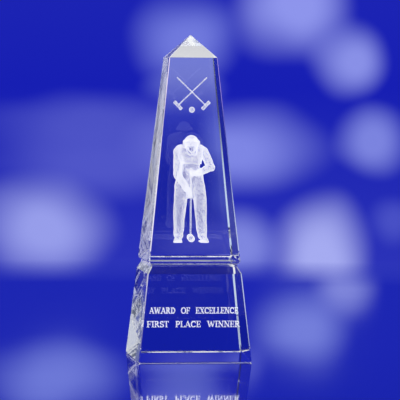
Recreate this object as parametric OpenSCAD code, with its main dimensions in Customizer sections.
/* [Crystal blocks] */
// Width and depth of the square foot
base_w = 60; // [50:1:70]
// Height from the foot to the point of the pyramid
total_h = 172; // [165:1:190]
// Height of the pyramid on top
pyramid_h = 12; // [8:0.5:16]
// Width of the tower where the pyramid starts
top_w = 25.5; // [23:0.5:30]
// Width of the polished bevel on the upright edges
edge_bevel = 0.8; // [0.4:0.1:1.2]
// Polished bevel round the foot
foot_bevel = 0.5; // [0.3:0.1:1]

/* [Waist groove] */
// Height of the sharp edge at the bottom of the groove
groove_z = 46.5; // [44:0.5:48]
// Depth of the groove
groove_depth = 1.6; // [1:0.1:2.5]
// Height of the sloping bevel in the lower half of the groove
slope_h = 3.6; // [2.5:0.1:5]
// Height of the upright neck above that bevel
neck_h = 1.3; // [0.8:0.1:2]
// Thickness of the clear bond between the two blocks
bond_t = 0.1; // [0.05:0.05:0.3]

/* [Emblem] */
// Height of the point where the two mallets cross
emblem_z = 141.5; // [138:0.5:143]
// How far the emblem lies in front of the middle of the tower
emblem_forward = 4; // [0:0.5:6]
// Length of a mallet shaft above the crossing
shaft_above = 11.1; // [8:0.1:12]
// Length of a mallet from the crossing to the middle of its head
shaft_below = 10.4; // [8:0.1:11]
// Thickness of a mallet shaft
shaft_d = 0.75; // [0.5:0.05:0.8]
// Length of a mallet head
head_l = 5.7; // [4:0.1:6]
// Thickness of a mallet head
head_d = 1.8; // [1.4:0.1:2]
// Diameter of the ball
ball_d = 3.2; // [2.4:0.1:3.4]

/* [Player] */
// Height of the player from the soles to the top of the cap
player_h = 57; // [50:1:58]
// Height of the soles above the foot of the award
sole_z = 61.4; // [60:0.2:64]

/* [Inscription] */
// Height of the middle of the upper row
row_upper_z = 26.6; // [25:0.1:29]
// Height of the middle of the lower row
row_lower_z = 19.4; // [16:0.1:21]
// Height of the characters
letter_h = 3.3; // [2.5:0.1:4]
// Thickness of the engraved layer
letter_t = 0.5; // [0.3:0.1:1]
// How far the rows lie in front of the middle of the base
row_forward = 18; // [10:0.5:20]

/* [Hidden] */

$fn = 48;

// Left and right are -X and +X, as seen from the front, which is -Y.
shoulder_z = total_h - pyramid_h;
bond_z = groove_z + slope_h + neck_h;
flank_h = 1.5;
flank_steps = 5;
flank_z = bond_z + bond_t + flank_h;
tip_r = 0.15;
clear_crystal = [0.78, 0.83, 0.95, 0.35];
frost = [0.93, 0.93, 0.96];

// Half the width of the straight taper at height z
function half_w(z) = base_w / 2 - (base_w - top_w) / 2 * z / shoulder_z;

neck_r = half_w(bond_z) - groove_depth;

// Each outline is the right-hand half, from the bottom up, as [half width, height].
base_outline = [
    [half_w(0) - foot_bevel, 0],
    [half_w(foot_bevel), foot_bevel],
    [half_w(groove_z), groove_z],
    [neck_r, groove_z + slope_h],
    [neck_r, bond_z]
];

// The lower rim of the tower is a quarter round that runs out into the taper.
tower_outline = concat(
    [for (i = [0:flank_steps])
        let (a = 90 * i / flank_steps)
        [neck_r + (half_w(flank_z) - neck_r) * sin(a), flank_z - flank_h * cos(a)]],
    [[half_w(shoulder_z), shoulder_z], [tip_r, total_h]]
);

// The whole profile from a half outline, widened by k and then cut back by c
function both_sides(half, k = 1, c = 0) = concat(
    [for (p = half) [max(p[0] * k - c, tip_r), p[1]]],
    [for (i = [len(half) - 1:-1:0]) [-max(half[i][0] * k - c, tip_r), half[i][1]]]
);

// A profile stood upright in the XZ plane and made wide enough to cut with
module upright_slab(profile) {
    rotate([90, 0, 0])
        linear_extrude(base_w * 2, center = true)
            polygon(profile);
}

// A square block with the given half outline on all four sides and bevelled upright edges
module square_block(half) {
    intersection() {
        upright_slab(both_sides(half));
        rotate([0, 0, 90]) upright_slab(both_sides(half));
        rotate([0, 0, 45]) upright_slab(both_sides(half, sqrt(2), edge_bevel / 2));
        rotate([0, 0, -45]) upright_slab(both_sides(half, sqrt(2), edge_bevel / 2));
    }
}

// ---- Crystal -------------------------------------------------------------------------------

module base_block() {
    color(clear_crystal)
        difference() {
            square_block(base_outline);
            row_of_words(row_upper_z, upper_words);
            row_of_words(row_lower_z, lower_words);
        }
}

module bond_film() {
    color(clear_crystal)
        translate([-neck_r, -neck_r, bond_z])
            cube([neck_r * 2, neck_r * 2, bond_t]);
}

module tower_block() {
    color(clear_crystal)
        difference() {
            square_block(tower_outline);
            for (side = [-1, 1]) {
                emblem_shaft(side);
                emblem_head(side);
            }
            emblem_ball_shape();
            in_tower() {
                cap_shape();
                head_shape();
                collar_shape();
                shirt_shape();
                belt_shape();
                trousers_shape();
                arm_shape(shoulder_l, elbow_l, wrist_l);
                arm_shape(shoulder_r, elbow_r, wrist_r);
                hand_shape(hand_low, hand_low_r);
                hand_shape(hand_up, hand_up_r);
                shoe_shape(-1);
                shoe_shape(1);
                mallet_shaft_shape();
                mallet_head_shape();
            }
        }
}

// ---- Emblem: two crossed mallets over a ball ------------------------------------------------

mallet_lean = 46;
// Half the distance, front to back, between the two crossed mallets
layer_gap = 0.42;
// How far the ball lies below the crossing
ball_drop = 9.5;

// One mallet's own frame: its shaft along Z, the crossing at the origin, the head below.
// side is -1 for the mallet whose head is on the left.
module mallet_frame(side) {
    translate([0, -emblem_forward + side * layer_gap, emblem_z])
        rotate([0, -side * mallet_lean, 0])
            children();
}

module emblem_shaft(side) {
    mallet_frame(side)
        translate([0, 0, -shaft_below + head_d / 2])
            cylinder(d = shaft_d, h = shaft_above + shaft_below - head_d / 2);
}

module emblem_head(side) {
    mallet_frame(side)
        translate([0, 0, -shaft_below])
            rotate([0, 90, 0])
                cylinder(d = head_d, h = head_l, center = true);
}

module emblem_ball_shape() {
    translate([0, -emblem_forward, emblem_z - ball_drop])
        sphere(d = ball_d);
}

module emblem_shaft_left() { color(frost) difference() { emblem_shaft(-1); emblem_head(-1); } }
module emblem_shaft_right() { color(frost) difference() { emblem_shaft(1); emblem_head(1); } }
module emblem_head_left() { color(frost) emblem_head(-1); }
module emblem_head_right() { color(frost) emblem_head(1); }
module emblem_ball() { color(frost) emblem_ball_shape(); }

// ---- Player: drawn 57 mm tall with the soles at z = 0, then scaled and lifted ----------------

drawn_h = 57;
shoulder_l = [-7.7, -2.0, 48.9];
elbow_l = [-7.6, -5.6, 36.0];
wrist_l = [-2.4, -6.9, 28.2];
shoulder_r = [6.9, -2.0, 48.6];
elbow_r = [10.2, -4.4, 40.2];
wrist_r = [2.6, -7.0, 36.9];
hand_low = [-1.1, -6.8, 26.3];
hand_low_r = 1.5;
hand_up = [-0.5, -7.4, 37.2];
hand_up_r = 1.6;
sleeve_r = 2.1;
cuff_r = 1.6;
joint_swell = 0.3;
head_at = [-0.3, -6.4, 51.2];
head_r = 2.7;
head_lean = 20;
cap_r = 4.2;
cap_lean = 12;
cap_back = 0.8;
cap_lift = 1.8;
peak_t = 0.6;
collar_low_r = 4.0;
collar_high_r = 3.5;
collar_h = 1.8;
collar_lean = 32;
throat_w = 3;
mallet_top = [-0.5, -7.4, 39.8];
mallet_low = [-0.2, -0.4, 2.6];
mallet_foot = [0, 0, 2.1];

module in_tower() {
    translate([0, 0, sole_z])
        scale(player_h / drawn_h)
            children();
}

// A round bar from a to b whose radius runs from ra to rb
module bar(a, b, ra, rb) {
    d = b - a;
    translate(a)
        rotate([0, atan2(norm([d[0], d[1]]), d[2]), atan2(d[1], d[0])])
            cylinder(r1 = ra, r2 = rb, h = norm(d));
}

module ball_at(p, r) {
    translate(p) sphere(r = r);
}

// A solid that has one outline from the front and another from the side
module two_view_solid(front, side) {
    intersection() {
        rotate([90, 0, 0]) linear_extrude(40, center = true) polygon(front);
        rotate([90, 0, 90]) linear_extrude(40, center = true) polygon(side);
    }
}

// The crown of the cap with a short peak over the face
module cap_shape() {
    brim_z = -cap_r * 0.05;
    translate([head_at[0], head_at[1] + cap_back, head_at[2] + cap_lift])
        rotate([cap_lean, 0, 0]) {
            difference() {
                sphere(r = cap_r);
                translate([-cap_r * 1.5, -cap_r * 1.5, brim_z - cap_r * 2])
                    cube([cap_r * 3, cap_r * 3, cap_r * 2]);
            }
            translate([0, -cap_r * 0.55, brim_z])
                cylinder(r = cap_r * 0.8, h = peak_t);
        }
}

// A plain head: a round skull, a narrower jaw, a nose and a chin
module head_shape() {
    jaw_top = [0, -0.2, -0.3];
    jaw_low = [0, -1.1, -2.7];
    nose_top = [0, -2.4, 0.5];
    nose_tip = [0, -3.1, -0.7];
    chin = [0, -1.9, -2.7];
    translate(head_at)
        rotate([head_lean, 0, 0]) {
            sphere(r = head_r);
            bar(jaw_top, jaw_low, head_r * 0.86, head_r * 0.5);
            bar(nose_top, nose_tip, 0.25, 0.45);
            ball_at(chin, 0.8);
        }
}

// A standing band of cloth round the neck, open at the throat
module collar_shape() {
    nape = [0, 2.6, -2.6];
    translate(head_at + nape)
        rotate([collar_lean, 0, 0])
            difference() {
                cylinder(r1 = collar_low_r, r2 = collar_high_r, h = collar_h);
                translate([0, -collar_low_r - 0.4, -collar_h / 2])
                    rotate([0, 0, 45])
                        cube([throat_w, throat_w, collar_h * 3]);
            }
}

shirt_front = [[-5.5, 41.7], [5.2, 41.7], [6.4, 45.5], [7.2, 47.5], [7.2, 50.2], [5.4, 52],
               [-5.8, 52], [-7.8, 50.2], [-7.8, 47.5], [-6.8, 45.5]];
shirt_side = [[-5.2, 41.7], [3.6, 41.7], [4.6, 44], [4.2, 47.4], [2.6, 50.4], [0.4, 52],
              [-3, 52], [-5.4, 49.8], [-7, 46.6], [-6.6, 43.6]];

module shirt_shape() {
    two_view_solid(shirt_front, shirt_side);
}

belt_front = [[-4.9, 39.6], [4.5, 39.6], [4.7, 41.6], [-5.1, 41.6]];
belt_side = [[-3.6, 39.6], [3.4, 39.6], [3.4, 41.6], [-3.9, 41.6]];

module belt_shape() {
    two_view_solid(belt_front, belt_side);
}

// Two straight trouser legs that part below the hips
trouser_front = [[-9.2, 4.6], [-3.6, 4.6], [-3.2, 10], [-1.6, 24.5], [0.8, 24.5], [2.7, 10],
                 [3.1, 4.6], [8.5, 4.6], [7.3, 31], [4.6, 39.5], [-5, 39.5], [-8.8, 31]];
trouser_side = [[-2.4, 4.6], [3.2, 4.6], [3.8, 20], [4, 31], [3.4, 39.5], [-3.4, 39.5],
                [-3.2, 31], [-2.8, 20]];

module trousers_shape() {
    two_view_solid(trouser_front, trouser_side);
}

// Sleeve and forearm, with round joints
module arm_shape(shoulder, elbow, wrist) {
    ball_at(shoulder, sleeve_r + joint_swell);
    bar(shoulder, elbow, sleeve_r, sleeve_r);
    ball_at(elbow, sleeve_r + joint_swell);
    bar(elbow, wrist, sleeve_r, cuff_r);
}

module hand_shape(at, r) {
    ball_at(at, r);
}

// A laced shoe that points to the front, with a round toe
module shoe_shape(side) {
    x = side < 0 ? -6.9 : 6.6;
    toe_y = -3.4;
    sole_t = 0.7;
    heel_w = 4.2;
    heel_l = 6.6;
    toe_h = 2.4;
    instep_low = [0, -3.2, 2];
    instep_high = [0, 0.4, 2.6];
    translate([x, 0, 0]) {
        translate([0, toe_y, 0]) cylinder(r = 2.5, h = sole_t);
        translate([-heel_w / 2, toe_y, 0]) cube([heel_w, heel_l, sole_t]);
        translate([0, toe_y, sole_t - 0.1]) cylinder(r1 = 2.3, r2 = 1.3, h = toe_h);
        bar(instep_low, instep_high, 1.5, 1.9);
    }
}

module mallet_shaft_shape() {
    bar(mallet_low, mallet_top, 0.6, 0.6);
}

// The head lies front to back, its far end a little higher
module mallet_head_shape() {
    translate(mallet_foot)
        rotate([92.5, 0, 0])
            cylinder(r = 1.85, h = 9, center = true);
}

module player_cap() {
    color(frost) in_tower() difference() {
        cap_shape();
        head_shape();
    }
}

module player_head() { color(frost) in_tower() head_shape(); }

module player_collar() {
    color(frost) in_tower() difference() {
        collar_shape();
        head_shape();
        cap_shape();
    }
}

module player_shirt() {
    color(frost) in_tower() difference() {
        shirt_shape();
        head_shape();
        cap_shape();
        collar_shape();
        arm_shape(shoulder_l, elbow_l, wrist_l);
        arm_shape(shoulder_r, elbow_r, wrist_r);
    }
}

module player_belt() { color(frost) in_tower() belt_shape(); }

module player_trousers() {
    color(frost) in_tower() difference() {
        trousers_shape();
        shoe_shape(-1);
        shoe_shape(1);
    }
}

module player_arm_left() {
    color(frost) in_tower() difference() {
        arm_shape(shoulder_l, elbow_l, wrist_l);
        hand_shape(hand_low, hand_low_r);
        mallet_shaft_shape();
    }
}

module player_arm_right() {
    color(frost) in_tower() difference() {
        arm_shape(shoulder_r, elbow_r, wrist_r);
        hand_shape(hand_up, hand_up_r);
        mallet_shaft_shape();
    }
}

module player_hand_upper() {
    color(frost) in_tower() difference() {
        hand_shape(hand_up, hand_up_r);
        mallet_shaft_shape();
    }
}

module player_hand_lower() {
    color(frost) in_tower() difference() {
        hand_shape(hand_low, hand_low_r);
        mallet_shaft_shape();
    }
}

module player_shoe_left() { color(frost) in_tower() shoe_shape(-1); }
module player_shoe_right() { color(frost) in_tower() shoe_shape(1); }

module player_mallet_shaft() {
    color(frost) in_tower() difference() {
        mallet_shaft_shape();
        mallet_head_shape();
    }
}

module player_mallet_head() { color(frost) in_tower() mallet_head_shape(); }

// ---- Inscription: each word is one thin engraved plate ---------------------------------------

// Words as [left end, right end]
upper_words = [[-23.6, -9.7], [-6.7, -1.9], [1.1, 23.8]];
lower_words = [[-24.8, -13], [-9.6, 3.9], [7.3, 24.8]];

module row_of_words(z, words) {
    for (word = words)
        translate([word[0], -row_forward - letter_t / 2, z - letter_h / 2])
            cube([word[1] - word[0], letter_t, letter_h]);
}

module inscription_row_upper() { color(frost) row_of_words(row_upper_z, upper_words); }
module inscription_row_lower() { color(frost) row_of_words(row_lower_z, lower_words); }

base_block();
bond_film();
tower_block();
emblem_shaft_left();
emblem_shaft_right();
emblem_head_left();
emblem_head_right();
emblem_ball();
player_cap();
player_head();
player_collar();
player_shirt();
player_belt();
player_trousers();
player_arm_left();
player_arm_right();
player_hand_upper();
player_hand_lower();
player_shoe_left();
player_shoe_right();
player_mallet_shaft();
player_mallet_head();
inscription_row_upper();
inscription_row_lower();
